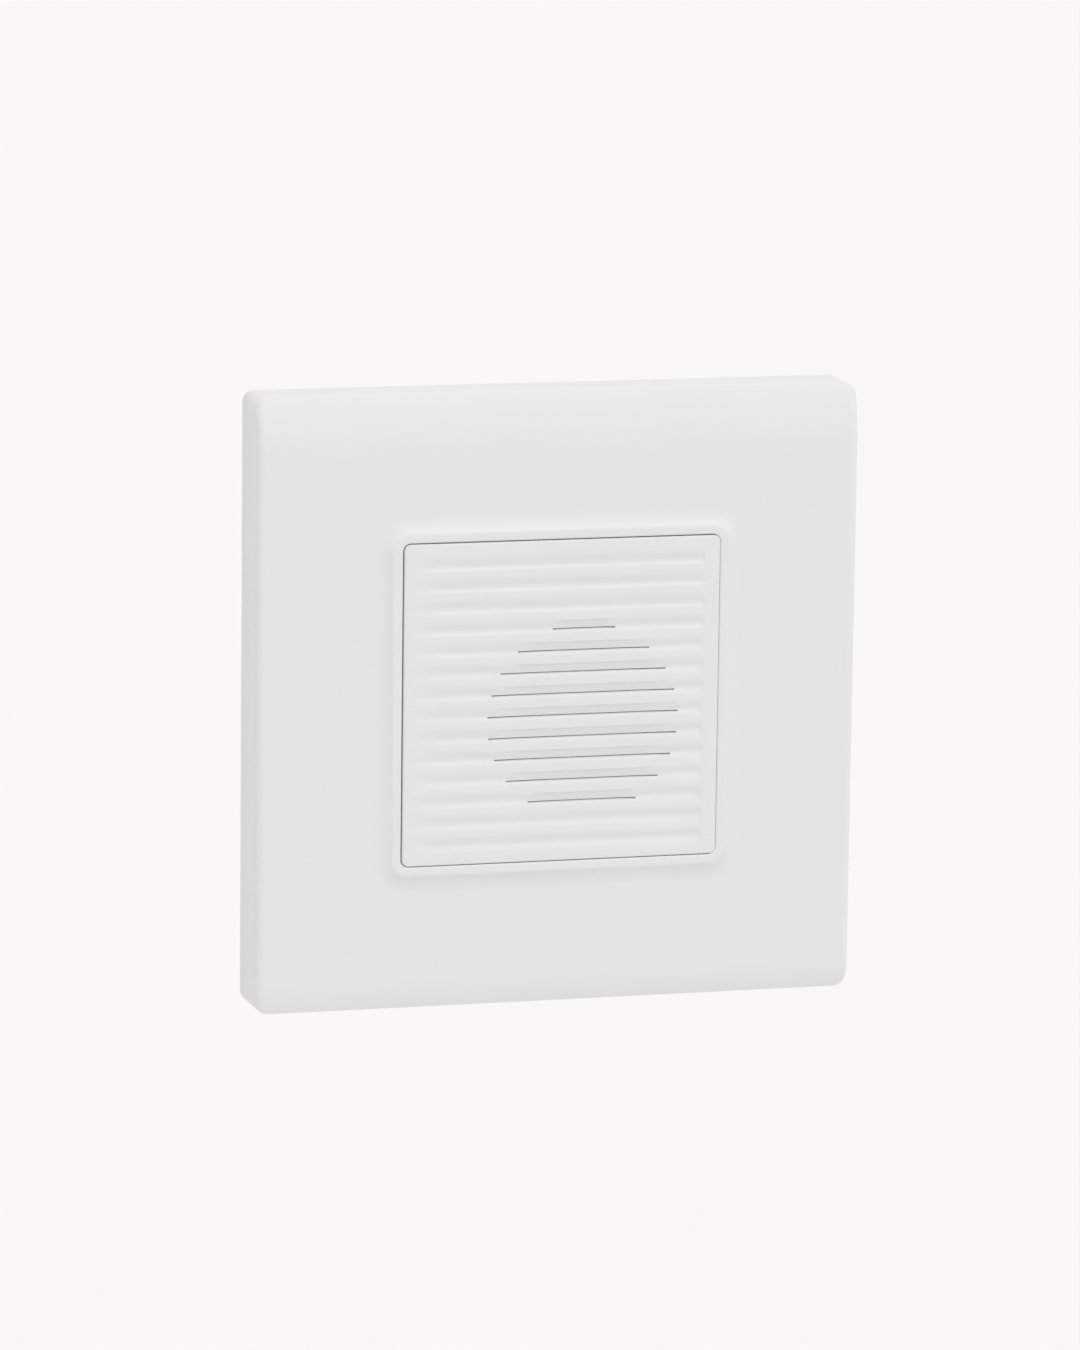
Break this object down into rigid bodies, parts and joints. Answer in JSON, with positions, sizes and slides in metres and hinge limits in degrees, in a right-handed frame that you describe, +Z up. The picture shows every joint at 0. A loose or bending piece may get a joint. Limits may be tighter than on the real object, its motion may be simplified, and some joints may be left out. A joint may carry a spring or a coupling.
{
  "type": "flush wall door chime",
  "caption": "Square white wall plate with a raised collar round a grooved and slotted square insert, a flush door chime whose loudspeaker, board and screw terminals sit in a box behind it.",
  "frame": {"origin": "centre of the four wall box screw slots, on the wall plane, which is the support frame's back face", "axes": "+X to the right as the room sees it, +Y into the wall, +Z up"},
  "size_m": [0.085, 0.0346, 0.085],
  "materials": {
    "white_plastic": "satin",
    "grey_plastic": "matte",
    "dark_cloth": "woven",
    "foam": "matte",
    "steel": "zinc plated",
    "cone_film": "satin film",
    "copper": "enamelled wire",
    "magnet": "nickel plated",
    "brown_laminate": "matte",
    "red_insulation": "satin",
    "green_laminate": "satin",
    "yellow_plastic": "matte",
    "blue_sleeve": "satin",
    "black_epoxy": "matte",
    "tan_enamel": "satin",
    "brass": "plain"
  },
  "bodies": {
    "base": {"support_frame": "grey_plastic", "grille_cover": "white_plastic", "dust_gauze": "dark_cloth", "speaker_gasket": "foam", "speaker_clamp": "grey_plastic", "clamp_screws": "steel", "speaker_basket": "steel", "cone_surround": "foam", "pole_plate": "steel", "speaker_magnet": "magnet", "magnet_pot": "steel", "speaker_tag_strip": "brown_laminate", "speaker_leads": "red_insulation", "rear_box": "grey_plastic", "circuit_board": "green_laminate", "board_screws": "steel", "film_capacitor": "yellow_plastic", "smoothing_capacitor": "blue_sleeve", "bridge_rectifier": "black_epoxy", "melody_chip": "black_epoxy", "varistor": "blue_sleeve", "fuse_resistor": "tan_enamel", "trimmer_body": "blue_sleeve", "contact_bar_left": "brass", "contact_bar_right": "brass"},
    "cover": {"cover_frame": "white_plastic"},
    "cone": {"speaker_cone": "cone_film", "voice_coil": "copper"},
    "volume": {"volume_spindle": "white_plastic"},
    "screw_left": {"terminal_screw_left": "steel"},
    "screw_right": {"terminal_screw_right": "steel"},
    "cage_left": {"terminal_cage_left": "brass"},
    "cage_right": {"terminal_cage_right": "brass"}
  },
  "joints": [
    {"name": "cover_pull", "type": "slide", "parent": "base", "child": "cover", "axis": [0, -1, 0], "range_m": [0, 0.03]},
    {"name": "cone_drive", "type": "slide", "parent": "base", "child": "cone", "axis": [0, -1, 0], "range_m": [-0.0005, 0.0005], "stiffness_N_per_m": 1000, "deforming": ["cone_surround"]},
    {"name": "volume_turn", "type": "hinge", "parent": "base", "child": "volume", "pos_m": [-0.013, 0, 0], "axis": [0, -1, 0], "range_deg": [-135, 135]},
    {"name": "screw_turn_left", "type": "hinge", "parent": "base", "child": "screw_left", "pos_m": [-0.006, 0.0165, 0.016], "axis": [0, 0, -1], "range_deg": [0, 1800]},
    {"name": "screw_turn_right", "type": "hinge", "parent": "base", "child": "screw_right", "pos_m": [0.006, 0.0165, 0.016], "axis": [0, 0, -1], "range_deg": [0, 1800]},
    {"name": "cage_lift_left", "type": "slide", "parent": "base", "child": "cage_left", "axis": [0, 0, 1], "range_m": [0, 0.0025]},
    {"name": "cage_lift_right", "type": "slide", "parent": "base", "child": "cage_right", "axis": [0, 0, 1], "range_m": [0, 0.0025]}
  ],
  "couplings": [
    {"joint": "screw_turn_left", "follows": "cage_lift_left", "rad_per_m": 12566},
    {"joint": "screw_turn_right", "follows": "cage_lift_right", "rad_per_m": 12566}
  ]
}
